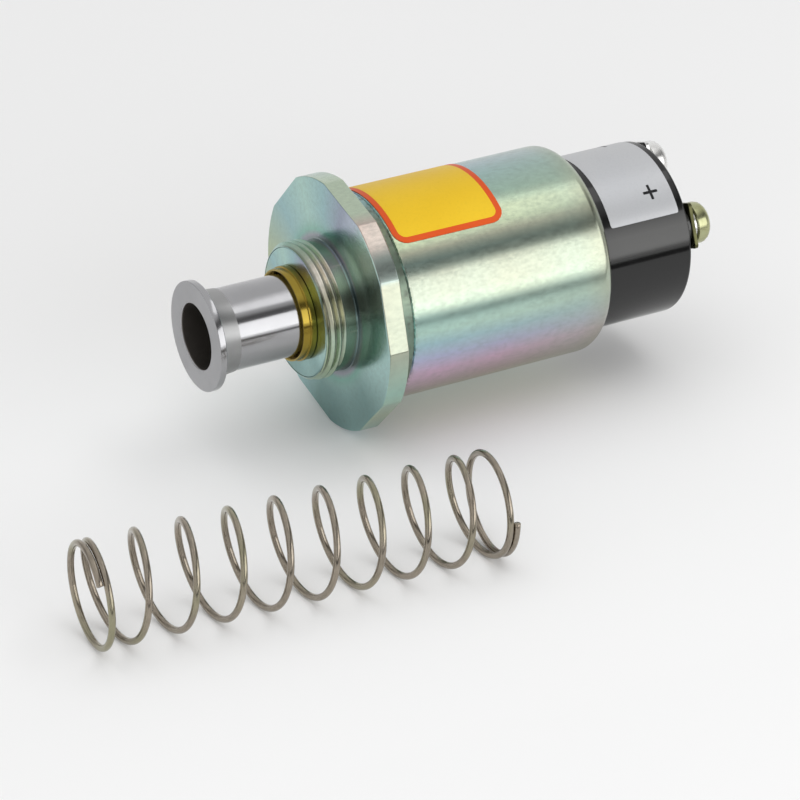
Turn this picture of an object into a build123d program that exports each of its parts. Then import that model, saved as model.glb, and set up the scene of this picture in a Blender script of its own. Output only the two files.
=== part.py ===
from build123d import *
import math
import os

# Threaded-mount pull solenoid with its loose return spring, in millimetres.
# The axis lies along X: the plunger points to -X, the terminals to +X, +Z is up.
# The origin is on the axis, in the plane of the flange's front seating face.

# Fits: radial gaps between turned pieces
seat_gap = 0.02
running_gap = 0.08
rod_gap = 0.06

# Mounting flange and its threaded boss
thread_dia = 28.575
boss_length = 7.35
boss_chamfer = 0.7
relief_dia = 27.0
relief_width = 2.9
flange_dia = 52.75
across_flats = 50.8
flange_thick = 4.37
flat_angle = 43.8
collar_length = 3.63
spigot_length = 4.0

# Housing shell
shell_dia = 43.8
shell_wall = 1.6
shell_length = 47.0
shell_shoulder = 2.6
shoulder_steps = 4
lip_gap = 0.1

# Plunger
plunger_dia = 16.94
rim_dia = 22.66
rim_thick = 1.45
neck_dia = 17.9
neck_length = 4.4
neck_chamfer = 0.9
plunger_bore_dia = 13.58
plunger_bore_depth = 24.0
plunger_reach = 29.5
stroke = 25.4
guided_length = 17.15
switch_travel = 1.2

# Brass guide tube
tube_wall = 0.95
tube_collar_dia = 19.6
tube_collar_length = 2.9
tube_mouth_length = 1.5
mouth_chamfer = 0.3

# Bobbin and windings
bobbin_length = 28.2
bobbin_wall = 1.1
bobbin_flange_thick = 1.4
bobbin_side_gap = 0.4
pull_in_depth = 4.0
hold_in_depth = 3.6
wrap_thick = 0.3
front_washer_thick = 0.8

# Fixed core, pole plate and insulation behind the bobbin
pole_plate_thick = 3.5
core_neck_dia = 12.0
insulation_thick = 1.2
lead_dia = 1.2
lead_hole_dia = 2.2

# Pull-in switch
carrier_length = 26.0
carrier_width = 12.0
carrier_thick = 4.6
carrier_hole_dia = 8.4
contact_thick = 1.0
contact_width = 8.0
contact_inner = 5.0
strap_width = 5.0
bridge_length = 20.0
bridge_thick = 1.2
bush_dia = 4.8
bush_flange_dia = 7.2
rod_dia = 3.0
rod_collar_dia = 5.2
rod_collar_thick = 1.0
rod_tail = 2.5
clip_dia = 6.8
clip_thick = 0.6
lead_radius = 14.3
contact_wire = 0.7
contact_coil_dia = 8.8
contact_spring_length = 9.5
contact_spring_turns = 2.5
wire_sides = 6
turn_steps = 20

# Rear cap
cap_dia = 36.62
cap_wall = 2.4
cap_rear_wall = 2.6
cap_rear = 75.72
cap_edge = 0.6
skirt_length = 6.3
skirt_gap = 0.1
gasket_wall = 1.7
post_dia = 10.8

# Terminals
terminal_radius = 13.0
live_angle = 158.0
ground_angle = 68.0
insert_dia = 6.0
insert_length = 6.9
terminal_boss_dia = 9.2
terminal_boss_height = 0.9
screw_dia = 4.0
screw_reach = 6.4
screw_head_dia = 8.8
screw_head_height = 3.5
screw_slot = 1.2
screw_slot_depth = 1.3
lug_size = 9.6
lug_thick = 0.8
lock_washer_dia = 7.8
lock_washer_thick = 1.1
lock_washer_split = 0.8

# Sticker and label, measured round the axis from +Y towards +Z
sticker_start = 8.5
sticker_width = 25.0
sticker_low_angle = 129.2
sticker_wrap_angle = 150.0
sticker_thick = 0.12
label_start = 57.6
label_width = 16.3
label_low_angle = 147.0
label_wrap_angle = 97.0
label_thick = 0.1

# Loose return spring, lying on the same level as the flange's lowest edge
spring_wire = 1.34
spring_coil_dia = 19.9
spring_length = 84.0
spring_open_turns = 8.2
spring_closing_turns = 0.35
spring_end_turns = 1.0
spring_end_gap = 0.06
spring_place_x = -79.34
spring_place_y = -55.75
spring_turned = 4.38
spring_first_angle = 129.4

# Sizes that follow from the ones above
thread_r = thread_dia / 2
shell_r = shell_dia / 2
shell_inner_r = shell_r - shell_wall
plunger_r = plunger_dia / 2
tube_inner_r = plunger_r + running_gap
tube_outer_r = tube_inner_r + tube_wall
collar_end = flange_thick + collar_length
spigot_end = collar_end + spigot_length
shell_end = collar_end + shell_length
bobbin_start = spigot_end + front_washer_thick
bobbin_end = bobbin_start + bobbin_length
plate_end = bobbin_end + pole_plate_thick
insulation_end = plate_end + insulation_thick
carrier_end = insulation_end + carrier_thick
contact_end = carrier_end + contact_thick
bridge_end = contact_end + bridge_thick
skirt_end = insulation_end + skirt_length
lip_start = shell_end - shell_wall
plunger_end = stroke + guided_length - boss_length - tube_collar_length
core_start = plunger_end + switch_travel
cap_r = cap_dia / 2
cap_inner_r = cap_r - cap_wall
post_start = bridge_end + contact_spring_length
terminal_face = cap_rear + terminal_boss_height
insert_start = terminal_face - insert_length
lug_end = terminal_face + lug_thick
head_start = lug_end + lock_washer_thick
disc_r = shell_inner_r - seat_gap
floor_z = -flange_dia / 2


def turned(*outline):
    # Solid of revolution about X from the (along, radius) corners of its section
    return revolve(make_face(Polyline(*outline, close=True)), Axis.X)


def ring(start, end, inner_r, outer_r):
    return turned((start, inner_r), (end, inner_r), (end, outer_r), (start, outer_r))


def facing(start, angle=0.0, radius=0.0):
    # Plane across the axis at `start`, its x along the radius at `angle`, looking to +X
    across = Vector(0, math.cos(math.radians(angle)), math.sin(math.radians(angle)))
    return Plane(origin=Vector(start, 0, 0) + across * radius, x_dir=across, z_dir=(1, 0, 0))


def rod(start, end, dia, angle=0.0, radius=0.0):
    return extrude(facing(start, angle, radius) * Circle(dia / 2), end - start)


def block(start, end, angle, inner, outer, width):
    # Bar across the axis from radius `inner` to `outer` along the direction at `angle`
    middle = (inner + outer) / 2
    return extrude(facing(start, angle, middle) * Rectangle(outer - inner, width), end - start)


def rounded_corner(end, outer_r, radius, steps):
    # Points of a rounded outer corner at the rear end of a section, from its face outwards
    places = []
    for step in range(steps + 1):
        turn = math.radians(90 * step / steps)
        along = end - radius + radius * math.cos(turn)
        places.append((along, outer_r - radius + radius * math.sin(turn)))
    return places


def coil(frame, wire, mean_dia, stages):
    # Left-hand coil of straight steps: each stage is (turns, pitch), and the wire's section
    # is a polygon of its area
    places = [(mean_dia / 2, 0, 0)]
    turned_by = 0.0
    height = 0.0
    for turns, pitch in stages:
        steps = round(turns * turn_steps)
        for _ in range(steps):
            turned_by -= 2 * math.pi * turns / steps
            height += pitch * turns / steps
            across = mean_dia / 2
            places.append((across * math.cos(turned_by), across * math.sin(turned_by), height))
    path = Polyline(*places)
    corner_r = wire / 2 * math.sqrt(
        2 * math.pi / (wire_sides * math.sin(2 * math.pi / wire_sides))
    )
    section = Plane(path.position_at(0), z_dir=path.tangent_at(0))
    section *= RegularPolygon(corner_r, wire_sides)
    return frame * sweep(section, path=path, transition=Transition.RIGHT)


def mounting_flange():
    body = turned(
        (-boss_length, tube_outer_r + seat_gap),
        (-boss_length, thread_r - boss_chamfer),
        (-boss_length + boss_chamfer, thread_r),
        (-relief_width, thread_r),
        (-relief_width, relief_dia / 2),
        (0, relief_dia / 2),
        (0, flange_dia / 2),
        (flange_thick, flange_dia / 2),
        (flange_thick, shell_r),
        (collar_end, shell_r),
        (collar_end, shell_inner_r - seat_gap),
        (spigot_end, shell_inner_r - seat_gap),
        (spigot_end, tube_outer_r + seat_gap),
    )
    flats = RegularPolygon(across_flats / 2, 6, major_radius=False)
    spin = flat_angle - 30
    stock = extrude(facing(-boss_length, spin) * flats, boss_length + spigot_end)
    return body & stock


def housing_shell():
    return turned(
        (collar_end, shell_inner_r),
        (lip_start, shell_inner_r),
        (lip_start, cap_r + lip_gap),
        (shell_end, cap_r + lip_gap),
        *rounded_corner(shell_end, shell_r, shell_shoulder, shoulder_steps),
        (collar_end, shell_r),
    )


def guide_tube():
    collar_r = tube_collar_dia / 2
    front = -boss_length - tube_collar_length
    return turned(
        (front, tube_inner_r + mouth_chamfer),
        (front, tube_outer_r),
        (front + tube_mouth_length, tube_outer_r),
        (front + tube_mouth_length, collar_r),
        (-boss_length, collar_r),
        (-boss_length, tube_outer_r),
        (bobbin_end, tube_outer_r),
        (bobbin_end, tube_inner_r),
        (front + mouth_chamfer, tube_inner_r),
    )


def plunger():
    front = -plunger_reach
    rim_end = front + rim_thick
    bore_r = plunger_bore_dia / 2
    return turned(
        (front, bore_r),
        (front, rim_dia / 2),
        (rim_end, rim_dia / 2),
        (rim_end, neck_dia / 2 + neck_chamfer),
        (rim_end + neck_chamfer, neck_dia / 2),
        (rim_end + neck_length, plunger_r),
        (plunger_end, plunger_r),
        (plunger_end, 0),
        (front + plunger_bore_depth, 0),
        (front + plunger_bore_depth, bore_r),
    )


def coil_bobbin():
    inner_r = tube_outer_r + seat_gap
    hub_r = inner_r + bobbin_wall
    flange_r = shell_inner_r - bobbin_side_gap
    return turned(
        (bobbin_start, inner_r),
        (bobbin_start, flange_r),
        (bobbin_start + bobbin_flange_thick, flange_r),
        (bobbin_start + bobbin_flange_thick, hub_r),
        (bobbin_end - bobbin_flange_thick, hub_r),
        (bobbin_end - bobbin_flange_thick, flange_r),
        (bobbin_end, flange_r),
        (bobbin_end, inner_r),
    )


def winding(inner_r, depth):
    start = bobbin_start + bobbin_flange_thick + seat_gap
    end = bobbin_end - bobbin_flange_thick - seat_gap
    return ring(start, end, inner_r + seat_gap, inner_r + depth)


def fixed_core():
    return turned(
        (core_start, rod_dia / 2 + rod_gap),
        (core_start, tube_inner_r - seat_gap),
        (bobbin_end, tube_inner_r - seat_gap),
        (bobbin_end, core_neck_dia / 2),
        (plate_end, core_neck_dia / 2),
        (plate_end, rod_dia / 2 + rod_gap),
    )


def lead_holes(start, end):
    # Ways through for the two winding ends
    return rod(start, end, lead_hole_dia, live_angle + 180, lead_radius) + rod(
        start, end, lead_hole_dia, ground_angle, terminal_radius
    )


def rear_pole_plate():
    plate = ring(bobbin_end, plate_end, core_neck_dia / 2 + seat_gap, disc_r)
    return plate - lead_holes(bobbin_end, plate_end)


def insulating_disc():
    sheet = ring(plate_end, insulation_end, carrier_hole_dia / 2, disc_r)
    return sheet - lead_holes(plate_end, insulation_end)


def contact_carrier():
    # Bar with a hole for the rod; a longer one is notched round the winding end beside it
    half = carrier_length / 2
    bar = block(insulation_end, carrier_end, live_angle, -half, half, carrier_width)
    bar -= rod(insulation_end, carrier_end, carrier_hole_dia)
    return bar - rod(insulation_end, carrier_end, lead_hole_dia, live_angle + 180, lead_radius)


def live_contact():
    # Contact strip with a strap that stands up to the terminal's insert
    outer = carrier_length / 2
    strip = block(carrier_end, contact_end, live_angle, contact_inner, outer, contact_width)
    return strip + block(
        contact_end, insert_start, live_angle, outer - contact_thick, outer, strap_width
    )


def coil_contact():
    outer = lead_radius + lead_dia * 0.75
    return block(carrier_end, contact_end, live_angle + 180, contact_inner, outer, contact_width)


def contact_bridge():
    half = bridge_length / 2
    bar = block(contact_end, bridge_end, live_angle, -half, half, contact_width)
    return bar - rod(contact_end, bridge_end, bush_dia + 2 * seat_gap)


def bridge_bush():
    bore_r = rod_dia / 2 + seat_gap
    return turned(
        (carrier_end, bore_r),
        (carrier_end, bush_flange_dia / 2),
        (contact_end, bush_flange_dia / 2),
        (contact_end, bush_dia / 2),
        (bridge_end, bush_dia / 2),
        (bridge_end, bore_r),
    )


def switch_rod():
    return turned(
        (plunger_end, 0),
        (plunger_end, rod_dia / 2),
        (carrier_end - rod_collar_thick, rod_dia / 2),
        (carrier_end - rod_collar_thick, rod_collar_dia / 2),
        (carrier_end, rod_collar_dia / 2),
        (carrier_end, rod_dia / 2),
        (bridge_end + clip_thick + rod_tail, rod_dia / 2),
        (bridge_end + clip_thick + rod_tail, 0),
    )


def contact_spring():
    end_pitch = contact_wire + spring_end_gap
    open_pitch = (contact_spring_length - contact_wire * 1.1 - 2 * end_pitch) / contact_spring_turns
    stages = [(1.0, end_pitch), (contact_spring_turns, open_pitch), (1.0, end_pitch)]
    frame = Plane(origin=(bridge_end + contact_wire * 0.55, 0, 0), z_dir=(1, 0, 0))
    return coil(frame, contact_wire, contact_coil_dia, stages)


def end_cap():
    body = turned(
        (insulation_end, cap_inner_r),
        (insulation_end, shell_inner_r - skirt_gap),
        (skirt_end, shell_inner_r - skirt_gap),
        (skirt_end, cap_r),
        (cap_rear - cap_edge, cap_r),
        (cap_rear, cap_r - cap_edge),
        (cap_rear, 0),
        (post_start, 0),
        (post_start, post_dia / 2),
        (cap_rear - cap_rear_wall, post_dia / 2),
        (cap_rear - cap_rear_wall, cap_inner_r),
    )
    for angle in (live_angle, ground_angle):
        body += rod(insert_start, terminal_face, terminal_boss_dia, angle, terminal_radius)
        body -= rod(insert_start, terminal_face, insert_dia + 2 * seat_gap, angle, terminal_radius)
    return body


def terminal_insert(angle):
    # Threaded brass insert; the bore is the screw's clearance size
    post = rod(insert_start, terminal_face, insert_dia, angle, terminal_radius)
    hole_start = head_start - screw_reach - lug_thick
    return post - rod(hole_start, terminal_face, screw_dia + 2 * rod_gap, angle, terminal_radius)


def terminal_screw(angle):
    head = rod(head_start, head_start + screw_head_height, screw_head_dia, angle, terminal_radius)
    top = head.edges().filter_by(GeomType.CIRCLE).sort_by(Axis.X)[-1]
    head = chamfer(top, screw_head_height / 3, screw_head_height / 2)
    shank = rod(head_start - screw_reach, head_start, screw_dia, angle, terminal_radius)
    slot_start = head_start + screw_head_height - screw_slot_depth
    place = facing(slot_start, angle, terminal_radius)
    slot = extrude(place * Rectangle(screw_slot, 2 * screw_head_dia), screw_head_height)
    return head + shank - slot


def terminal_lug(angle):
    place = facing(terminal_face, angle, terminal_radius)
    plate = extrude(place * Rectangle(lug_size, lug_size), lug_thick)
    return plate - rod(terminal_face, lug_end, screw_dia + 2 * rod_gap, angle, terminal_radius)


def lock_washer(angle):
    place = facing(lug_end, angle, terminal_radius)
    washer = extrude(place * Circle(lock_washer_dia / 2), lock_washer_thick)
    washer -= extrude(place * Circle(screw_dia / 2 + rod_gap), lock_washer_thick)
    split = Pos(0, lock_washer_dia / 2) * Rectangle(lock_washer_split, lock_washer_dia)
    return washer - extrude(place * split, lock_washer_thick)


def wrapped(start, width, under_r, thick, low_angle, span):
    # Sheet bent round the axis, from its lower edge over the top
    outline = Polyline(
        (start, under_r),
        (start + width, under_r),
        (start + width, under_r + thick),
        (start, under_r + thick),
        close=True,
    )
    return Rot(low_angle - span, 0, 0) * revolve(make_face(outline), Axis.X, span)


def return_spring():
    end_pitch = spring_wire + spring_end_gap
    closing = 2 * spring_closing_turns
    flat_part = 2 * spring_end_turns * end_pitch + closing * end_pitch / 2 + spring_wire
    pitch = (spring_length - flat_part) / (spring_open_turns + closing / 2)
    closing_pitch = (pitch + end_pitch) / 2
    stages = [
        (spring_end_turns, end_pitch),
        (spring_closing_turns, closing_pitch),
        (spring_open_turns, pitch),
        (spring_closing_turns, closing_pitch),
        (spring_end_turns, end_pitch),
    ]
    along = Vector(1, 0, 0).rotate(Axis.Z, -spring_turned)
    near_side = Vector(0, -1, 0).rotate(Axis.Z, -spring_turned)
    first = math.radians(spring_first_angle)
    start_dir = Vector(0, 0, -math.cos(first)) + near_side * math.sin(first)
    axis_z = floor_z + (spring_coil_dia + spring_wire * 1.1) / 2
    frame = Plane((spring_place_x, spring_place_y, axis_z), x_dir=start_dir, z_dir=along)
    return coil(frame, spring_wire, spring_coil_dia, stages)


hub_r = tube_outer_r + seat_gap + bobbin_wall
nodes = {
    "mounting_flange": mounting_flange(),
    "housing_shell": housing_shell(),
    "guide_tube": guide_tube(),
    "plunger": plunger(),
    "front_washer": ring(spigot_end, bobbin_start, tube_outer_r + seat_gap, disc_r),
    "coil_bobbin": coil_bobbin(),
    "pull_in_winding": winding(hub_r, pull_in_depth),
    "hold_in_winding": winding(hub_r + pull_in_depth, hold_in_depth),
    "winding_wrap": winding(hub_r + pull_in_depth + hold_in_depth, wrap_thick),
    "fixed_core": fixed_core(),
    "rear_pole_plate": rear_pole_plate(),
    "insulating_disc": insulating_disc(),
    "contact_carrier": contact_carrier(),
    "live_contact": live_contact(),
    "coil_contact": coil_contact(),
    "contact_bridge": contact_bridge(),
    "bridge_bush": bridge_bush(),
    "bridge_clip": ring(bridge_end, bridge_end + clip_thick, rod_dia / 2 + seat_gap, clip_dia / 2),
    "switch_rod": switch_rod(),
    "contact_spring": contact_spring(),
    "pull_in_lead": rod(bobbin_end, carrier_end, lead_dia, live_angle + 180, lead_radius),
    "ground_lead": rod(bobbin_end, insert_start, lead_dia, ground_angle, terminal_radius),
    "end_cap": end_cap(),
    "cap_gasket": ring(skirt_end, lip_start, disc_r - gasket_wall, disc_r),
    "positive_insert": terminal_insert(live_angle),
    "negative_insert": terminal_insert(ground_angle),
    "positive_lug": terminal_lug(live_angle),
    "negative_lug": terminal_lug(ground_angle),
    "lock_washers": lock_washer(live_angle) + lock_washer(ground_angle),
    "positive_screw": terminal_screw(live_angle),
    "negative_screw": terminal_screw(ground_angle),
    "body_sticker": wrapped(
        sticker_start, sticker_width, shell_r, sticker_thick, sticker_low_angle, sticker_wrap_angle
    ),
    "polarity_label": wrapped(
        label_start, label_width, cap_r, label_thick, label_low_angle, label_wrap_angle
    ),
    "return_spring": return_spring(),
}

os.makedirs("parts", exist_ok=True)
for name, solid in nodes.items():
    export_step(solid, "parts/" + name + ".step")
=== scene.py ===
import bpy
import bmesh
import math
from mathutils import Vector, Matrix, noise


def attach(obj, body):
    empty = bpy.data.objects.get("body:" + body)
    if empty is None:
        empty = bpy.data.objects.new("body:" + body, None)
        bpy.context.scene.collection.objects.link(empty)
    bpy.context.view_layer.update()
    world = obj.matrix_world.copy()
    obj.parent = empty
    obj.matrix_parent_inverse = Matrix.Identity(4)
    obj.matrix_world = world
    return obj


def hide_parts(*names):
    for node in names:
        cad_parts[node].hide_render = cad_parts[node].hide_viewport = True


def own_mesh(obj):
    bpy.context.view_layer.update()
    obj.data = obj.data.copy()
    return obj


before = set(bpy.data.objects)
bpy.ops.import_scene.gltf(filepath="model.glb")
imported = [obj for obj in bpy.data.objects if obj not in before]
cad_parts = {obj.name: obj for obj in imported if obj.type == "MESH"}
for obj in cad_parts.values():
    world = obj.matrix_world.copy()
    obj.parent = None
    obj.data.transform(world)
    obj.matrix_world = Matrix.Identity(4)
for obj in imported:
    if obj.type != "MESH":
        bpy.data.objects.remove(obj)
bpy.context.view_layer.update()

mm = 0.001
fullTurn = 2 * math.pi
print("frame loaded:", len(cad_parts), "nodes")


# mesh helpers, sizes in millimetres, +X along the solenoid to its terminals

def newPiece(name, verts, faces, finishes, body, slotName, stands=(), sharp=35, weighted=True):
    weld = 0.001 * mm
    mesh = bpy.data.meshes.new(name)
    mesh.from_pydata([Vector(v) * mm for v in verts], [], faces)
    work = bmesh.new()
    work.from_mesh(mesh)
    bmesh.ops.remove_doubles(work, verts=work.verts, dist=weld)
    bmesh.ops.dissolve_degenerate(work, edges=work.edges, dist=weld / 2)
    bmesh.ops.recalc_face_normals(work, faces=work.faces)
    work.to_mesh(mesh)
    work.free()
    for finish in finishes:
        mesh.materials.append(finish)
    mesh.shade_smooth()
    mesh.set_sharp_from_angle(angle=math.radians(sharp))
    piece = bpy.data.objects.new(name, mesh)
    bpy.context.scene.collection.objects.link(piece)
    if weighted:
        keepFlat = piece.modifiers.new("keep faces flat", "WEIGHTED_NORMAL")
        keepFlat.keep_sharp = True
        keepFlat.weight = 80
    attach(piece, body)
    if stands:
        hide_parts(*stands)
    return piece


def easedCorners(profile, ease, steps=3, skip=()):
    # rounds the corners of a closed (x, r) section; points on the axis stay
    nearlyStraight = math.radians(165)
    mostOfSide = 0.45
    out = []
    for i, point in enumerate(profile):
        before = Vector(profile[i - 1])
        here = Vector(point)
        after = Vector(profile[(i + 1) % len(profile)])
        a = before - here
        b = after - here
        straight = a.length < 1e-6 or b.length < 1e-6 or a.angle(b) > nearlyStraight
        if i in skip or point[1] < 0.01 or straight:
            out.append(point)
            continue
        reach = min(ease, a.length * mostOfSide, b.length * mostOfSide)
        p0 = here + a.normalized() * reach
        p1 = here + b.normalized() * reach
        for k in range(steps + 1):
            t = k / steps
            q = p0 * (1 - t) ** 2 + here * 2 * t * (1 - t) + p1 * t * t
            out.append((q.x, q.y))
    return out


def turnedMesh(profile, steps=240, warp=None, angles=None):
    # closed section turned about X; warp(x, r, angle) may move a point
    turns = angles or [fullTurn * i / steps for i in range(steps)]
    verts = []
    faces = []
    n = len(profile)
    for turn in turns:
        for x, r in profile:
            px, pr = warp(x, r, turn) if warp else (x, r)
            verts.append((px, pr * math.cos(turn), pr * math.sin(turn)))
    for i in range(len(turns)):
        nextRow = ((i + 1) % len(turns)) * n
        for j in range(n):
            k = (j + 1) % n
            faces.append((i * n + j, i * n + k, nextRow + k, nextRow + j))
    return verts, faces


def joined(*parts):
    verts = []
    faces = []
    for someVerts, someFaces in parts:
        base = len(verts)
        verts += list(someVerts)
        faces += [tuple(base + i for i in f) for f in someFaces]
    return verts, faces


def threadStrip(start, end, thread):
    # right-hand thread about X as one helical strip, held between start and end
    crestR, depth, pitch, land = thread["r"], thread["depth"], thread["pitch"], thread["land"]
    steps, rootR = thread["steps"], crestR - depth
    crestEase, rootEase = 0.03, 0.04
    turns = math.ceil((end - start) / pitch) + 2
    flank = (pitch - 2 * land) / 2
    section = [
        (0, crestR - crestEase), (land * 0.2, crestR), (land * 0.8, crestR), (land, crestR - crestEase),
        (land + flank, rootR + rootEase), (land * 1.5 + flank, rootR), (land * 2 + flank, rootR + rootEase),
        (pitch, crestR - crestEase),
    ]
    verts = []
    faces = []
    n = len(section)
    for i in range(turns * steps + 1):
        turn = fullTurn * i / steps
        base = start - pitch * 1.5 + pitch * i / steps
        for dx, r in section:
            x = min(max(base + dx, start), end)
            limit = crestR - thread["lead"] + (x - start)
            if thread["runOut"]:
                limit = min(limit, rootR + max(0.0, (end - x)) * depth / thread["runOut"])
            r = max(min(r, limit), rootR)
            verts.append((x, r * math.cos(turn), r * math.sin(turn)))
    for i in range(turns * steps):
        for j in range(n - 1):
            faces.append((i * n + j, i * n + j + 1, (i + 1) * n + j + 1, (i + 1) * n + j))
    return verts, faces


def setAtTerminal(shape, angle, reach):
    # moves a shape turned about X to a terminal; its y then points outwards
    a = math.radians(angle)
    verts = []
    for x, y, z in shape[0]:
        u = y + reach
        verts.append((x, u * math.cos(a) - z * math.sin(a), u * math.sin(a) + z * math.cos(a)))
    return verts, shape[1]


# node helpers, shared by the finishes and the sky

class NodeWork:
    def __init__(self, tree):
        self.tree = tree

    def add(self, kind, **settings):
        node = self.tree.nodes.new(kind)
        for key, value in settings.items():
            setattr(node, key, value)
        return node

    def join(self, source, target):
        self.tree.links.new(source, target)

    def sum(self, how, a, b=0):
        node = self.add("ShaderNodeMath", operation=how)
        for i, value in enumerate((a, b)):
            if isinstance(value, (int, float)):
                node.inputs[i].default_value = value
            else:
                self.join(value, node.inputs[i])
        return node.outputs[0]

    def split(self, source):
        node = self.add("ShaderNodeSeparateXYZ")
        self.join(source, node.inputs[0])
        return node.outputs

    def ramp(self, source, stops):
        node = self.add("ShaderNodeValToRGB")
        band = node.color_ramp
        while len(band.elements) < len(stops):
            band.elements.new(0.5)
        for element, (at, colour) in zip(band.elements, stops):
            element.position = at
            if isinstance(colour, (int, float)):
                colour = (colour, colour, colour)
            element.color = (*colour, 1)
        self.join(source, node.inputs["Fac"])
        return node.outputs["Color"]

    def blend(self, share, a, b):
        node = self.add("ShaderNodeMix", data_type="RGBA")
        for socket, value in ((node.inputs[0], share), (node.inputs[6], a), (node.inputs[7], b)):
            if isinstance(value, tuple):
                socket.default_value = (*value, 1)
            else:
                self.join(value, socket)
        return node.outputs[2]


class Finish(NodeWork):
    def __init__(self, name):
        self.mat = bpy.data.materials.new(name)
        self.mat.use_nodes = True
        super().__init__(self.mat.node_tree)
        self.shader = self.tree.nodes["Principled BSDF"]
        self.place = self.add("ShaderNodeTexCoord").outputs["Object"]

    def stretched(self, scale, source=None):
        node = self.add("ShaderNodeMapping")
        node.inputs["Scale"].default_value = scale
        self.join(source or self.place, node.inputs["Vector"])
        return node.outputs[0]

    def cloud(self, scale, detail=3.0, rough=0.55, source=None):
        node = self.add("ShaderNodeTexNoise")
        node.inputs["Scale"].default_value = scale
        node.inputs["Detail"].default_value = detail
        node.inputs["Roughness"].default_value = rough
        self.join(source or self.place, node.inputs["Vector"])
        return node.outputs["Fac"]

    def bump(self, height, strength, distance):
        node = self.add("ShaderNodeBump")
        node.inputs["Strength"].default_value = strength
        node.inputs["Distance"].default_value = distance * mm
        self.join(height, node.inputs["Height"])
        last = self.shader.inputs["Normal"]
        if last.is_linked:
            self.join(last.links[0].from_socket, node.inputs["Normal"])
        self.join(node.outputs["Normal"], last)

    def polar(self):
        # place along X, angle round X as 0..1 from -Y by way of -Z, and the radius; lengths in metres
        x, y, z = self.split(self.place)
        around = self.sum("ADD", self.sum("DIVIDE", self.sum("ARCTAN2", z, y), fullTurn), 0.5)
        radius = self.sum("SQRT", self.sum("ADD", self.sum("MULTIPLY", y, y), self.sum("MULTIPLY", z, z)))
        return x, around, radius

    def setup(self, colour, rough, **sockets):
        for name, value in (("Base Color", colour), ("Roughness", rough)):
            if isinstance(value, (int, float)):
                self.shader.inputs[name].default_value = value
            else:
                self.join(value, self.shader.inputs[name])
        for name, value in sockets.items():
            self.shader.inputs[name].default_value = value
        return self.mat


# iridescent zinc: the hue drifts round the part, as the plated film does; its brightness by angle also holds
# painted light and shade, set where reflections and the floor's shadow fell

zincHuesAndPaintedLight = {
    "mint": (0.42, 0.63, 0.57), "sea": (0.37, 0.55, 0.62), "violet": (0.45, 0.40, 0.60),
    "amber": (0.48, 0.39, 0.26), "straw": (0.46, 0.53, 0.34), "skyBlue": (0.33, 0.46, 0.57),
    "teal": (0.32, 0.51, 0.53), "leaf": (0.37, 0.57, 0.47), "cream": (0.44, 0.41, 0.30),
    "pearl": (0.45, 0.46, 0.36), "paintedShadeTeal": (0.26, 0.43, 0.42), "dove": (0.31, 0.35, 0.45),
    "rose": (0.54, 0.45, 0.40), "paintedShadeOlive": (0.16, 0.18, 0.11), "paintedShadeMoss": (0.12, 0.16, 0.11),
    "paintedHighlightIvory": (0.74, 0.69, 0.60), "slate": (0.44, 0.49, 0.45), "wheat": (0.50, 0.59, 0.46),
    "sage": (0.29, 0.40, 0.34), "tan": (0.55, 0.54, 0.40), "jade": (0.43, 0.57, 0.50),
    "foam": (0.47, 0.68, 0.59), "paintedLiftLilac": (0.50, 0.50, 0.72), "paintedLiftOrchid": (0.76, 0.50, 0.69),
    "paintedLiftMauve": (0.62, 0.45, 0.52), "steel": (0.50, 0.56, 0.66), "paintedReflectionGlow": (0.56, 0.78, 0.70),
    "ink": (0.22, 0.31, 0.31), "paintedShadePine": (0.19, 0.33, 0.33), "paintedShadeForest": (0.16, 0.29, 0.28),
    "aqua": (0.44, 0.66, 0.64), "moonlit": (0.38, 0.54, 0.55),
}
zincFilmAndPaintedLight = {
    "drift": 26, "patches": (30, 12, 12), "streaks": (600, 1300, 1300), "specks": 700, "pits": 1100,
    "drawLines": (40, 1400, 1400), "streakTone": (0.26, 0.31, 0.27), "speckTone": (0.13, 0.15, 0.12),
    "shoulderTone": (0.45, 0.45, 0.33), "pitTone": (0.16, 0.17, 0.12), "warmLength": 60, "waver": 6.0,
    "pittedEnd": 10, "ringsWidth": 8, "paintedBossReflection": (0.05, 0.075, 0.075), "paintedGreenReflection": (0.58, 0.92, 0.74),
}


def warmShoulder(finish, colour, x, drift, film):
    # the film is thicker and warmer towards the shoulder, and the rolled front edge is pitted
    reach = finish.sum("ADD", finish.sum("MULTIPLY", x, 1 / mm), finish.sum("MULTIPLY", drift, film["waver"]))
    late = finish.sum("DIVIDE", reach, film["warmLength"])
    warm = finish.ramp(late, [(0.25, 0.0), (0.86, 0.35), (0.95, 0.7)])
    colour = finish.blend(warm, colour, film["shoulderTone"])
    pits = finish.ramp(finish.cloud(film["pits"], 3, 0.6), [(0.48, 0.0), (0.58, 0.6)])
    atEdge = finish.ramp(finish.sum("DIVIDE", x, film["pittedEnd"] * mm), [(0.80, 1.0), (0.89, 0.0)])
    return finish.blend(finish.sum("MULTIPLY", pits, atEdge), colour, film["pitTone"])


def paintedGrooveShade(finish, colour, radius, groove):
    # painted shade in the thread roots under bright crests; groove holds the radius of each
    low, high = groove[0] * mm, groove[1] * mm
    depth = finish.sum("DIVIDE", finish.sum("SUBTRACT", radius, low), high - low)
    deep = finish.sum("ADD", finish.sum("MULTIPLY", depth, 0.5), 0.5)
    paintedRootShade = finish.ramp(deep, [(0.3, (0.07, 0.10, 0.095)), (0.5, (0.16, 0.17, 0.14))])
    return finish.blend(finish.ramp(deep, [(0.3, 1.0), (0.5, 0.65), (0.70, 0.0)]), colour, paintedRootShade)


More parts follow.
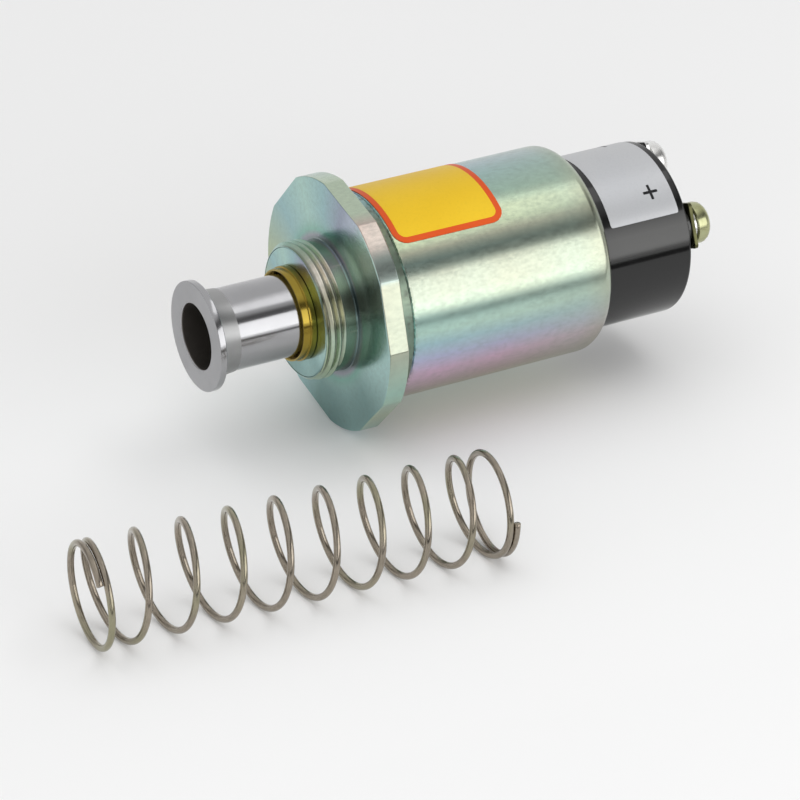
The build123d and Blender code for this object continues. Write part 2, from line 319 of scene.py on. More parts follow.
def cornerRingsAndPaintedReflection(finish, colour, around, radius, corner, film):
    # rings of thinner film where the boss meets the face, with painted shade in the corner, a painted dark
    # reflection of the boss on one side and a painted green reflection beside it
    near = finish.sum("DIVIDE", finish.sum("SUBTRACT", radius, corner * mm), film["ringsWidth"] * mm)
    rings = finish.ramp(near, [
        (0.0, (0.12, 0.14, 0.14)), (0.12, (0.30, 0.24, 0.32)), (0.26, (0.18, 0.42, 0.32)),
        (0.6, (0.34, 0.52, 0.48))])
    colour = finish.blend(finish.ramp(near, [(0.0, 0.0), (0.01, 0.8), (0.3, 0.6), (0.7, 0.0)]), colour, rings)
    # the first patch is a painted dark reflection of the boss, the second a painted green reflection beside
    # it
    patches = [
        (film["paintedBossReflection"], [(0.88, 0.0), (0.918, 1.0), (0.945, 1.0), (0.975, 0.0)],
         [(0.0, 0.0), (0.01, 0.95), (0.45, 0.85), (0.8, 0.0)]),
        (film["paintedGreenReflection"], [(0.80, 0.0), (0.85, 1.0), (0.875, 0.9), (0.90, 0.0)],
         [(0.3, 0.0), (0.6, 0.9), (0.85, 0.5), (1.0, 0.0)]),
    ]
    for tone, byAngle, byRadius in patches:
        share = finish.sum("MULTIPLY", finish.ramp(around, byAngle), finish.ramp(near, byRadius))
        colour = finish.blend(share, colour, tone)
    return colour


def zincFinish(name, stops, wander, rough=(0.20, 0.26), blotch=0.1, drawn=False, groove=None, corner=None):
    film = zincFilmAndPaintedLight
    finish = Finish(name)
    x, around, radius = finish.polar()
    drift = finish.cloud(film["drift"], 2, 0.45)
    shift = finish.sum("MULTIPLY", finish.sum("SUBTRACT", drift, 0.5), wander)
    hueAt = finish.sum("FRACT", finish.sum("ADD", around, shift))
    colour = finish.ramp(hueAt, [(at, zincHuesAndPaintedLight[hue]) for at, hue in stops])
    along = finish.cloud(1, 2, 0.5, finish.stretched(film["patches"]))
    colour = finish.blend(finish.ramp(along, [(0.46, 0.0), (0.75, 0.35)]), colour, zincHuesAndPaintedLight["mint"])
    if drawn:
        colour = warmShoulder(finish, colour, x, drift, film)
        finish.bump(finish.cloud(1, 2, 0.5, finish.stretched(film["drawLines"])), 0.004, 0.015)
    if groove:
        colour = paintedGrooveShade(finish, colour, radius, groove)
    if corner:
        colour = cornerRingsAndPaintedReflection(finish, colour, around, radius, corner, film)
    streak = finish.cloud(1, 4, 0.65, finish.stretched(film["streaks"]))
    colour = finish.blend(finish.ramp(streak, [(0.40, 0.0), (0.75, 0.24)]), colour, film["streakTone"])
    speck = finish.cloud(film["specks"], 2, 0.6)
    colour = finish.blend(finish.ramp(speck, [(0.45, 0.0), (0.68, blotch)]), colour, film["speckTone"])
    finish.bump(streak, 0.007, 0.006)
    return finish.setup(colour, finish.ramp(streak, [(0.38, rough[0]), (0.66, rough[1])]), Metallic=1.0)


# the lilac, orchid and mauve on the lower front side are lightened past the film's colour: painted light
# against the floor's shadow seen in the reflection
shellZincAndPaintedLight = zincFinish("zinc on drawn steel, with painted light", [
    (0.00, "foam"), (0.02, "sea"), (0.044, "paintedLiftLilac"), (0.072, "paintedLiftOrchid"), (0.11, "paintedLiftMauve"), (0.17, "amber"),
    (0.24, "straw"), (0.32, "mint"), (0.40, "skyBlue"), (0.47, "violet"), (0.55, "straw"), (0.62, "mint"),
    (0.72, "skyBlue"), (0.76, "teal"), (0.81, "leaf"), (0.839, "straw"), (0.863, "straw"), (0.877, "tan"),
    (0.895, "jade"), (0.915, "pearl"), (0.948, "pearl"), (0.966, "wheat"), (0.981, "mint"), (1.0, "foam"),
], 0.03, drawn=True)
flangeZinc = zincFinish("zinc on milled flats", [
    (0.0, "cream"), (0.06, "leaf"), (0.12, "straw"), (0.2, "teal"), (0.35, "mint"), (0.43, "sage"),
    (0.5, "sage"), (0.62, "teal"), (0.74, "wheat"), (0.81, "wheat"), (0.832, "rose"), (0.868, "rose"),
    (0.882, "slate"), (0.91, "slate"), (0.915, "cream"), (1.0, "cream"),
], 0.006, blotch=0.03)
# on the face the dark hues from an eighth to over a quarter of the way round paint the shade on its lower
# side; the bright green near 0.86 and the dark teal just past nine tenths paint the boss's reflection in the
# face
faceZincAndPaintedShade = zincFinish("zinc on the turned faces", [
    (0.0, "aqua"), (0.045, "aqua"), (0.12, "paintedShadePine"), (0.18, "paintedShadeTeal"), (0.23, "paintedShadePine"), (0.28, "paintedShadeForest"),
    (0.33, "teal"), (0.40, "mint"), (0.50, "straw"), (0.60, "teal"), (0.68, "mint"), (0.74, "teal"),
    (0.79, "dove"), (0.825, "steel"), (0.855, "paintedReflectionGlow"), (0.885, "paintedReflectionGlow"), (0.91, "moonlit"), (0.927, "ink"),
    (0.945, "ink"), (0.97, "aqua"), (1.0, "aqua"),
], 0.04, rough=(0.18, 0.26), corner=13.5)
# on the thread the near-white hue past eight tenths of the way round is a painted highlight where the key
# panel reflects
threadZincAndPaintedLight = zincFinish("zinc on the rolled thread, with painted highlight and shade", [
    (0.0, "wheat"), (0.1, "straw"), (0.25, "leaf"), (0.5, "teal"), (0.70, "leaf"), (0.78, "wheat"),
    (0.82, "paintedHighlightIvory"), (0.87, "paintedHighlightIvory"), (0.91, "cream"), (0.97, "cream"), (1.0, "wheat"),
], 0.04, rough=(0.16, 0.22), groove=(13.43, 14.15))
# the collar's dark olive and moss hues are painted shade in the corner behind the flange; the teal between
# them is the film's colour
collarZincPaintedShade = zincFinish("zinc on the staked collar, with painted shade", [
    (0.0, "paintedShadeMoss"), (0.15, "paintedShadeOlive"), (0.5, "teal"), (0.75, "teal"), (0.82, "paintedShadeOlive"), (0.9, "paintedShadeMoss"),
    (0.96, "paintedShadeOlive"), (1.0, "paintedShadeMoss"),
], 0.12, rough=(0.28, 0.46), blotch=0.8)
print("zinc finishes made")


def turnedSteel(name, colour, rough, faceRough, rings, stain):
    # fine tool marks round the axis, duller on the faces across it
    facingAxis, patchy = 0.85, 0.14
    finish = Finish(name)
    x, _, radius = finish.polar()
    marks = finish.add("ShaderNodeCombineXYZ")
    finish.join(finish.sum("ADD", x, radius), marks.inputs[0])
    lines = finish.cloud(rings, 3, 0.7, marks.outputs[0])
    patches = finish.cloud(140, 4, 0.6)
    facing = finish.split(finish.add("ShaderNodeNewGeometry").outputs["True Normal"])
    endOn = finish.sum("GREATER_THAN", finish.sum("ABSOLUTE", facing[0]), facingAxis)
    sheen = finish.sum("ADD", finish.sum("MULTIPLY", patches, patchy), rough - patchy / 2)
    sheen = finish.sum("ADD", sheen, finish.sum("MULTIPLY", endOn, faceRough - rough))
    tint = finish.blend(finish.ramp(patches, [(0.35, 0.0), (0.75, 0.5)]), colour, stain)
    finish.bump(lines, 0.10, 0.03)
    return finish.setup(tint, sheen, Metallic=1.0)


plungerSteel = turnedSteel("bare turned steel", (0.41, 0.41, 0.42), 0.14, 0.44, 9000, (0.35, 0.35, 0.36))
neckSteel = turnedSteel("rough turned neck", (0.36, 0.36, 0.36), 0.34, 0.44, 5000, (0.30, 0.30, 0.30))
boreSteel = turnedSteel("drilled bore", (0.28, 0.26, 0.24), 0.42, 0.44, 4000, (0.17, 0.155, 0.14))
coreSteel = turnedSteel("soft iron", (0.38, 0.37, 0.36), 0.34, 0.42, 7000, (0.30, 0.29, 0.27))
collarBrass = turnedSteel("turned brass", (0.36, 0.265, 0.045), 0.16, 0.26, 6000, (0.22, 0.15, 0.03))
insertBrass = turnedSteel("insert brass", (0.68, 0.50, 0.18), 0.28, 0.35, 5000, (0.5, 0.36, 0.12))


def platedFinish(name, colour, stain, rough):
    finish = Finish(name)
    patches = finish.cloud(420, 3, 0.6)
    tint = finish.blend(finish.ramp(patches, [(0.4, 0.0), (0.7, 0.7)]), colour, stain)
    finish.bump(finish.cloud(2600, 2, 0.6), 0.08, 0.02)
    return finish.setup(tint, finish.ramp(patches, [(0.3, rough), (0.7, rough + 0.12)]), Metallic=1.0)


brightTin = platedFinish("bright tin plate", (0.84, 0.84, 0.83), (0.70, 0.69, 0.67), 0.18)
yellowPlate = platedFinish("yellow passivated screw", (0.44, 0.45, 0.26), (0.34, 0.34, 0.16), 0.2)
# the positive washer's near-black olive is painted shade: the shadow and the black cap's reflection in the
# gap under the screw head
brassPaintedShade = platedFinish("brass washer with painted shade", (0.11, 0.11, 0.05), (0.06, 0.06, 0.03), 0.25)
contactCopper = platedFinish("bare copper strip", (0.72, 0.38, 0.24), (0.48, 0.24, 0.15), 0.28)

wireLook = {
    "bright": (0.37, 0.325, 0.265), "drawn": (0.17, 0.145, 0.115), "worn": (0.46, 0.39, 0.31),
    "greenish": (0.34, 0.35, 0.19), "lines": (60, 26, 1), "rough": (0.13, 0.24),
}


def drawnWire(name, look):
    # die lines along the wire, which the UV follows; the tints come and go along it
    finish = Finish(name)
    uv = finish.add("ShaderNodeTexCoord").outputs["UV"]
    lines = finish.cloud(1, 3, 0.6, finish.stretched(look["lines"], uv))
    patches = finish.cloud(120, 3, 0.6)
    green = finish.cloud(55, 2, 0.5)
    tint = finish.blend(finish.ramp(lines, [(0.35, 0.0), (0.7, 0.75)]), look["bright"], look["drawn"])
    tint = finish.blend(finish.ramp(patches, [(0.5, 0.0), (0.8, 0.5)]), tint, look["worn"])
    tint = finish.blend(finish.ramp(green, [(0.52, 0.0), (0.68, 0.42)]), tint, look["greenish"])
    finish.bump(lines, 0.12, 0.02)
    low, high = look["rough"]
    return finish.setup(tint, finish.ramp(patches, [(0.3, low), (0.7, high)]), Metallic=1.0)


springWire = drawnWire("drawn spring wire", wireLook)


def mouldedFinish(name, colour, lift, rough, grain, paintedReflection=None):
    finish = Finish(name)
    broad = finish.cloud(90, 3, 0.5)
    tint = finish.blend(finish.ramp(broad, [(0.35, 0.0), (0.75, 1.0)]), colour, lift)
    finish.bump(finish.cloud(grain, 3, 0.6), 0.08, 0.015)
    if paintedReflection:
        # a grey band by angle round the axis: a painted reflection of the key panel
        _, around, _ = finish.polar()
        tint = finish.blend(finish.ramp(broad, [(0.3, 1.0), (0.8, 0.85)]), tint, finish.ramp(around, paintedReflection))
    return finish.setup(tint, finish.ramp(broad, [(0.3, rough), (0.7, rough + 0.06)]))


# the grey band from 0.91 to 0.955 of the way round is a painted reflection of the key panel
capPaintedReflection = [
    (0.0, 0.004), (0.89, 0.005), (0.91, (0.018, 0.018, 0.0175)), (0.93, (0.050, 0.050, 0.048)),
    (0.955, (0.050, 0.050, 0.048)), (0.972, 0.003), (1.0, 0.004),
]
capPhenolicAndPaintedReflection = mouldedFinish("black phenolic with a painted reflection", (0.006,) * 3, (0.01,) * 3, 0.07, 2400, capPaintedReflection)
carrierPhenolic = mouldedFinish("brown phenolic", (0.05, 0.032, 0.022), (0.08, 0.05, 0.032), 0.42, 1800)
gasketRubber = mouldedFinish("gasket rubber", (0.014, 0.014, 0.014), (0.03, 0.03, 0.03), 0.7, 1600)
bobbinNylon = mouldedFinish("natural nylon", (0.74, 0.71, 0.60), (0.66, 0.62, 0.50), 0.4, 1200)


def sheetFibre(name, colour, lift):
    finish = Finish(name)
    strands = finish.cloud(1, 5, 0.75, finish.stretched((300, 1800, 420)))
    finish.bump(strands, 0.25, 0.05)
    return finish.setup(finish.ramp(strands, [(0.35, colour), (0.65, lift)]), 0.62)


washerFibre = sheetFibre("red fibre sheet", (0.22, 0.075, 0.05), (0.34, 0.13, 0.08))


def woundCopper(name, wire, colour, shade):
    # turns of enamelled wire side by side along the bobbin
    finish = Finish(name)
    x, around, _ = finish.polar()
    lay = finish.sum("ADD", x, finish.sum("MULTIPLY", around, wire * mm))
    ridge = finish.sum("ABSOLUTE", finish.sum("SINE", finish.sum("MULTIPLY", lay, math.pi / (wire * mm))))
    # the dark between the turns is painted shade; the same dark colour also comes in random patches
    tint = finish.ramp(ridge, [(0.05, shade), (0.5, colour)])
    tint = finish.blend(finish.cloud(160, 3, 0.6), tint, shade)
    finish.bump(ridge, 0.8, wire * 0.3)
    return finish.setup(tint, 0.28, Metallic=0.8, **{"Coat Weight": 0.5, "Coat Roughness": 0.15})


thickCopper = woundCopper("enamelled copper, thick", 0.9, (0.62, 0.24, 0.10), (0.30, 0.09, 0.03))
thinCopper = woundCopper("enamelled copper, thin", 0.35, (0.58, 0.22, 0.10), (0.28, 0.08, 0.03))


def wovenTape(name, dark, pale):
    warpLines, weftLines = 9000, 900
    finish = Finish(name)
    x, around, _ = finish.polar()
    warp = finish.sum("SINE", finish.sum("MULTIPLY", x, warpLines))
    weft = finish.sum("SINE", finish.sum("MULTIPLY", around, weftLines))
    weave = finish.sum("MULTIPLY", warp, weft)
    height = finish.sum("ADD", finish.sum("MULTIPLY", weave, 0.25), 0.5)
    finish.bump(weave, 0.5, 0.06)
    return finish.setup(finish.ramp(height, [(0.2, dark), (0.8, pale)]), 0.7)


windingTape = wovenTape("woven winding tape", (0.50, 0.42, 0.22), (0.74, 0.66, 0.40))


def printedSheet(name, colour, lift, rough, metallic, grain):
    finish = Finish(name)
    fine = finish.cloud(grain, 3, 0.6)
    broad = finish.cloud(60, 3, 0.5)
    tint = finish.blend(finish.ramp(broad, [(0.3, 0.0), (0.75, 1.0)]), colour, lift)
    tint = finish.blend(finish.ramp(fine, [(0.5, 0.0), (0.8, 0.06)]), tint, (0.02, 0.02, 0.02))
    finish.bump(broad, 0.12, 0.12)
    sheen = finish.ramp(fine, [(0.3, rough), (0.7, rough + 0.06)])
    return finish.setup(tint, sheen, Metallic=metallic, **{"Specular IOR Level": 0.2})


stickerYellow = printedSheet("yellow vinyl", (0.74, 0.47, 0.010), (0.78, 0.51, 0.016), 0.38, 0.0, 1500)
stickerOrange = printedSheet("orange print", (0.62, 0.07, 0.008), (0.66, 0.09, 0.012), 0.38, 0.0, 1500)
labelSilver = printedSheet("silver foil", (0.53, 0.54, 0.56), (0.57, 0.575, 0.585), 0.38, 0.6, 2200)
labelInk = printedSheet("black print", (0.010, 0.010, 0.011), (0.018, 0.018, 0.02), 0.4, 0.0, 1500)
print("finishes made")


# threaded mounting flange: six flats milled on a round blank, rolled thread in front

flangeMake = {
    "flatAngle": 43.8, "acrossFlats": 50.8, "flats": 6, "blankR": 26.375, "thick": 4.37, "edge": 0.28,
    "boss": -7.35, "bore": 9.52, "threadEnd": -2.9, "reliefR": 13.5, "reliefFillet": (0.12, 0.45),
    "collarR": 21.9, "collarEnd": 8.02, "collarFillet": (0.15, 0.5), "stakedEdge": (0.2, 0.24),
    "ragged": 0.10, "raggedFrom": (7.7, 20.48), "spigotR": 20.28, "spigotEnd": 12.0, "steps": 360,
    "milledFrom": 24, "bossWithin": 15, "threadFaces": (-7.27, -0.3), "cornerEdge": 0.5,
}
flangeThread = {
    "r": 14.2875, "depth": 0.86, "pitch": 1.411, "land": 0.2, "lead": 0.75, "runOut": 0.35, "steps": 96,
}


def hexReach(turn, make):
    # radius of the blank after milling, at one angle
    step = fullTurn / make["flats"]
    off = (turn - math.radians(make["flatAngle"]) + step / 2) % step - step / 2
    return min(make["blankR"], make["acrossFlats"] / 2 / math.cos(off))


def flangeAngles(make):
    # even steps, with a row on each corner between a flat and the round
    tooClose = 0.006
    corner = math.acos(make["acrossFlats"] / 2 / make["blankR"])
    marks = []
    for i in range(make["flats"]):
        middle = math.radians(make["flatAngle"]) + fullTurn * i / make["flats"]
        marks += [(middle - corner) % fullTurn, (middle + corner) % fullTurn]
    angles = [fullTurn * i / make["steps"] for i in range(make["steps"])]
    angles = [a for a in angles if min(abs(a - m) for m in marks) > tooClose]
    return sorted(angles + marks), marks


def raggedEdge(turn, seed, size):
    # broad and fine waves of a rolled or staked edge
    broad, fine = (noise.noise(Vector((math.cos(turn) * count, math.sin(turn) * count, seed + shift)))
                   for count, shift in ((9, 0), (38, 5)))
    return size * (0.55 * broad + 0.9 * fine)


def makeFlange(make, thread):
    rootR = thread["r"] - thread["depth"]
    inFillet, outFillet = make["reliefFillet"]
    inCollar, outCollar = make["collarFillet"]
    back, drop = make["stakedEdge"]
    raggedX, raggedR = make["raggedFrom"]
    section = [
        (make["boss"], make["bore"]), (make["boss"], rootR), (make["threadEnd"], rootR),
        (make["threadEnd"], make["reliefR"]), (-outFillet, make["reliefR"]),
        (-inFillet, make["reliefR"] + inFillet), (0.0, make["reliefR"] + outFillet), (0.0, make["blankR"]),
        (make["thick"], make["blankR"]), (make["thick"], make["collarR"] + outCollar),
        (make["thick"] + inCollar, make["collarR"] + inCollar), (make["thick"] + outCollar, make["collarR"]),
        (make["collarEnd"] - back, make["collarR"]), (make["collarEnd"], make["collarR"] - drop),
        (make["collarEnd"], make["spigotR"]), (make["spigotEnd"], make["spigotR"]),
        (make["spigotEnd"], make["bore"]),
    ]
    profile = easedCorners(section, make["edge"], 4, skip=(4, 5, 6, 9, 10, 11))

    def milled(x, r, turn):
        if r > make["milledFrom"]:
            return x, r - make["blankR"] + hexReach(turn, make)
        if x > raggedX and r > raggedR:
            return x + raggedEdge(turn, 2.0, make["ragged"]), r
        return x, r

    angles, marks = flangeAngles(make)
    blank = turnedMesh(profile, warp=milled, angles=angles)
    verts, faces = joined(blank, threadStrip(make["boss"], make["threadEnd"], thread))
    finishes = [flangeZinc, faceZincAndPaintedShade, threadZincAndPaintedLight, collarZincPaintedShade]
    piece = newPiece("threaded_flange", verts, faces, finishes, "root", "zinc_plate", ("mounting_flange",))
    threadStart, threadStop = make["threadFaces"]
    facingAxis, slack = 0.8, 0.1
    for face in piece.data.polygons:
        x, reach = face.center.x / mm, face.center.yz.length / mm
        onBoss = reach < make["bossWithin"]
        if onBoss and threadStart < x < threadStop:
            face.material_index = 2
        elif abs(face.normal.x) > facingAxis or (onBoss and x < slack):
            face.material_index = 1
        elif x > make["thick"] + slack:
            face.material_index = 3
    for edge in piece.data.edges:
        a, b = (piece.data.vertices[i].co for i in edge.vertices)
        if abs(a.x - b.x) > make["cornerEdge"] * mm and a.yz.length > make["milledFrom"] * mm:
            turn = math.atan2(a.z, a.y) % fullTurn
            if min(abs(turn - m) for m in marks) < 0.001:
                edge.use_edge_sharp = True
    return piece


makeFlange(flangeMake, flangeThread)
print("flange made")


# drawn housing with a rounded shoulder and a rolled lip behind

housingMake = {
    "start": 8.0, "end": 55.0, "outerR": 21.9, "wall": 1.6, "shoulder": 2.6, "innerShoulder": 2.2,
    "frontRoll": [(0.03, 0.24), (0.26, 0.02), (0.6, 0.0)], "rearLip": [(0.0, 0.25), (0.1, 0.06), (0.3, 0.0)],
    "lipR": 18.41, "notch": 0.17, "notchDeep": 0.4, "ripple": 0.02, "rippleAlong": 0.09, "rippleRound": 2.2,
    "rows": 24, "bendSteps": (12, 6), "steps": 288,
}


def quarterBend(end, top, radius, steps):
    # from the rear face round to the outside, as (x, r)
    bend = []
    for i in range(steps + 1):
        t = math.radians(90 * i / steps)
        bend.append((end - radius * (1 - math.cos(t)), top - radius * (1 - math.sin(t))))
    return bend


def makeHousing(make):
    outerR, rolled = make["outerR"], make["start"] + make["frontRoll"][-1][0]
    innerR = outerR - make["wall"]
    straight = make["end"] - make["shoulder"] - rolled
    outerSteps, innerSteps = make["bendSteps"]
    profile = [(make["start"] + make["frontRoll"][0][0], innerR)]
    profile += [(make["start"] + x, outerR - drop) for x, drop in make["frontRoll"]]
    profile += [(rolled + straight * i / make["rows"], outerR) for i in range(1, make["rows"])]
    profile += reversed(quarterBend(make["end"], outerR, make["shoulder"], outerSteps))
    profile += [(make["end"] - x, make["lipR"] + rise) for x, rise in make["rearLip"]]
    profile.append((make["end"] - make["wall"], make["lipR"]))
    profile += quarterBend(make["end"] - make["wall"], innerR, make["innerShoulder"], innerSteps)

    def pressed(x, r, turn):
        if x < make["start"] + make["notchDeep"] and r > innerR:
            return x + raggedEdge(turn, 8.0, make["notch"]), r
        if r > outerR - 0.01:
            y, z = math.cos(turn) * make["rippleRound"], math.sin(turn) * make["rippleRound"]
            return x, r + make["ripple"] * noise.noise(Vector((x * make["rippleAlong"], y, z)))
        return x, r

    verts, faces = turnedMesh(profile, make["steps"], pressed)
    return newPiece("drawn_housing", verts, faces, [shellZincAndPaintedLight], "root", "zinc_plate", ("housing_shell",))


makeHousing(housingMake)
print("housing made")


# brass guide tube, its collar seated on the boss

tubeMake = {
    "front": -10.25, "seat": -7.35, "end": 41.0, "boreR": 8.55, "wallR": 9.5, "collarR": 9.8, "step": -8.75,
    "mouthLength": 0.9, "mouthWiden": 0.6, "collarEase": (0.1, 0.04), "edge": 0.1,
}


def makeTube(make):
    easeStart, easeEnd = make["collarEase"]
    section = [
        (make["front"], make["boreR"] + make["mouthWiden"]), (make["front"], make["wallR"]),
        (make["step"], make["wallR"]), (make["step"], make["collarR"]),
        (make["seat"] - easeStart, make["collarR"]), (make["seat"] - easeEnd, make["wallR"]),
        (make["end"], make["wallR"]), (make["end"], make["boreR"]),
        (make["front"] + make["mouthLength"], make["boreR"]),
    ]
    verts, faces = turnedMesh(easedCorners(section, make["edge"], 3))
    return newPiece("brass_guide_tube", verts, faces, [collarBrass], "root", "brass", ("guide_tube",))


makeTube(tubeMake)


# hollow plunger with its rim

plungerMake = {
    "front": -29.5, "rimR": 11.33, "rim": 1.45, "neckR": 8.95, "necked": -23.65, "bodyR": 8.47, "end": 32.28,
    "boreR": 6.79, "bore": 24.0, "mouthLength": 0.35, "mouthWiden": 0.12, "bevel": 0.5, "drillPoint": 1.2,
    "neckFillet": [(0.0, 0.9), (0.25, 0.42), (0.9, 0.0)], "neckStep": (0.05, 0.12), "edge": 0.16,
}


def makePlunger(make):
    rimEnd = make["front"] + make["rim"]
    boreEnd = make["front"] + make["bore"]
    stepLength, stepRise = make["neckStep"]
    section = [
        (make["front"], make["boreR"] + make["mouthWiden"]), (make["front"], make["rimR"]),
        (rimEnd, make["rimR"]),
        *[(rimEnd + x, make["neckR"] + rise) for x, rise in make["neckFillet"]],
        (make["necked"], make["bodyR"] + stepRise), (make["necked"] + stepLength, make["bodyR"]),
        (make["end"] - make["bevel"], make["bodyR"]), (make["end"], make["bodyR"] - make["bevel"]),
        (make["end"], 0), (boreEnd + make["drillPoint"], 0), (boreEnd, make["boreR"]),
        (make["front"] + make["mouthLength"], make["boreR"]),
    ]
    verts, faces = turnedMesh(easedCorners(section, make["edge"], 3, skip=(4, 5, 6, 7)))
    finishes = [plungerSteel, neckSteel, boreSteel]
    piece = newPiece("turned_plunger", verts, faces, finishes, "plunger", "machined_steel", ("plunger",))
    slack = 0.05
    for face in piece.data.polygons:
        x, reach = face.center.x / mm, face.center.yz.length / mm
        if reach < make["boreR"] + slack and x < 0:
            face.material_index = 2
        elif rimEnd < x < make["necked"] and reach > make["bodyR"]:
            face.material_index = 1
    return piece


makePlunger(plungerMake)
print("tube and plunger made")


# loose return spring, wound left-handed with closed ends

springMake = {
    "wire": 1.34, "coil": 19.9, "length": 84.0, "endTurns": 1.0, "closing": 0.35, "turns": 8.2,
    "endGap": 0.06, "x": -79.34, "y": -55.75, "floor": -26.375, "turned": 4.38, "firstAngle": 129.4,
    "stepsPerTurn": 56, "sides": 18,
}
# small spring behind the contact bridge; the real one shortens as the rod pushes the bridge back, here it is
# wound at one length
contactSpringMake = {
    "wire": 0.7, "coil": 8.8, "length": 9.46, "endTurns": 1.0, "closing": 0.2, "turns": 2.3, "endGap": 0.06,
    "start": 52.52, "seat": 62.0, "travel": 1.2, "stepsPerTurn": 40, "sides": 12,
}


def springLine(make):
    # turns made and height gained, step by step along the wire's centre
    tight = make["wire"] + make["endGap"]
    closing = 2 * make["closing"]
    flatPart = 2 * make["endTurns"] * tight + closing * tight / 2 + make["wire"]
    pitch = (make["length"] - flatPart) / (make["turns"] + closing / 2)
    total = 2 * make["endTurns"] + closing + make["turns"]
    steps = round(total * make["stepsPerTurn"])
    rise = 0.0
    line = []
    for i in range(steps + 1):
        t = total * i / steps
        line.append((t, rise))
        edge = min(t, total - t) - make["endTurns"]
        share = min(max(edge / make["closing"], 0), 1)
        share = share * share * (3 - 2 * share)
        rise += (tight + (pitch - tight) * share) * total / steps
    scale = (make["length"] - make["wire"]) / line[-1][1]
    return [(t, h * scale) for t, h in line]


def wireRows(make, origin, along, across):
    # centre, direction, radius and length so far of each ring of the wire; the cut ends are eased
    tipReach, tipShare = 0.09, 0.9
    third = along.cross(across)
    centres = []
    for t, h in springLine(make):
        a = -fullTurn * t
        centres.append(origin + along * h + (across * math.cos(a) + third * math.sin(a)) * make["coil"] / 2)
    wireR = make["wire"] / 2
    gone = 0.0
    rows = []
    for i, centre in enumerate(centres):
        ahead = (centres[min(i + 1, len(centres) - 1)] - centres[max(i - 1, 0)]).normalized()
        gone += (centre - centres[i - 1]).length if i else 0.0
        rows.append((centre, ahead, wireR, gone))
    (first, out, _, _), (last, on, _, _) = rows[0], rows[-1]
    rows.insert(0, (first - out * wireR * tipReach, out, wireR * tipShare, 0.0))
    rows.append((last + on * wireR * tipReach, on, wireR * tipShare, gone))
    return rows


def windWire(name, make, origin, along, across, body, stands):
    # round wire along the coil; its UV runs along the wire in tenths of a metre, for the drawing marks
    uvPerMetre = 10
    sides = make["sides"]
    rows = wireRows(make, origin, along, across)
    verts, faces, runs = [], [], []
    for centre, ahead, size, far in rows:
        t = (centre - origin).dot(along)
        out = (centre - origin - along * t).normalized()
        side = ahead.cross(out).normalized()
        out = side.cross(ahead)
        for k in range(sides):
            a = fullTurn * k / sides
            verts.append(centre + (out * math.cos(a) + side * math.sin(a)) * size)
            runs.append((far * mm * uvPerMetre, k / sides))
    for i in range(len(rows) - 1):
        for k in range(sides):
            n = (k + 1) % sides
            faces.append((i * sides + k, i * sides + n, (i + 1) * sides + n, (i + 1) * sides + k))
    faces.append(tuple(range(sides)))
    faces.append(tuple(range((len(rows) - 1) * sides, len(rows) * sides)))
    piece = newPiece(name, verts, faces, [springWire], body, "spring_steel", stands, sharp=50, weighted=False)
    layer = piece.data.uv_layers.new(name="along the wire")
    for face in piece.data.polygons:
        ring = [piece.data.loops[i].vertex_index % sides for i in face.loop_indices]
        wraps = max(ring) == sides - 1 and min(ring) == 0
        for loop in face.loop_indices:
            far, v = runs[piece.data.loops[loop].vertex_index]
            layer.data[loop].uv = (far, 1.0 if wraps and v == 0 else v)
    return piece


def makeSpring(make):
    spin = Matrix.Rotation(-math.radians(make["turned"]), 3, "Z")
    along, near = spin @ Vector((1, 0, 0)), spin @ Vector((0, -1, 0))
    first = math.radians(make["firstAngle"])
    across = Vector((0, 0, -math.cos(first))) + near * math.sin(first)
    centreZ = make["floor"] + (make["coil"] + make["wire"] * 1.1) / 2
    origin = Vector((make["x"], make["y"], centreZ))
    return windWire("coiled_return_spring", make, origin, along, across, "loose_spring", ("return_spring",))


def makeContactSpring(make):
    origin = Vector((make["start"] + make["wire"] / 2, 0, 0))
    along, across = Vector((1, 0, 0)), Vector((0, 1, 0))
    piece = windWire("contact_pressure_spring", make, origin, along, across, "root", ("contact_spring",))
    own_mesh(piece)
    return piece


makeSpring(springMake)
makeContactSpring(contactSpringMake)
print("springs made")


# terminals: the levels that both share, then what differs from one to the other

stackMake = {"reach": 13.0, "face": 76.62, "washerTop": 77.42, "headStart": 78.52}
terminalMake = {
    "positive": {
        "at": 158.0, "slotTurn": 62, "screw": yellowPlate, "screwSlot": "yellow_screw", "washer": brassPaintedShade,
    },
    "negative": {
        "at": 68.0, "slotTurn": 20, "screw": brightTin, "screwSlot": "bright_tin", "washer": brightTin,
    },
}


# moulded cap, its skirt inside the housing, with a raised seat under each terminal

capMake = {
    "r": 18.31, "innerR": 15.91, "skirtR": 20.2, "skirtStart": 45.7, "skirtEnd": 52.0, "rear": 75.72,
    "edge": 0.7, "postStart": 62.0, "postR": 5.4, "innerRear": 73.12, "seatR": 4.6, "seatDeep": 5.2,
    "seatEnd": 76.62, "seatFoot": [(-0.02, 0.25), (0.2, 0.0)], "seatTop": [(0.15, 0.06), (0.0, 0.2)],
    "seatHoleR": 3.02, "seatSteps": 72,
}


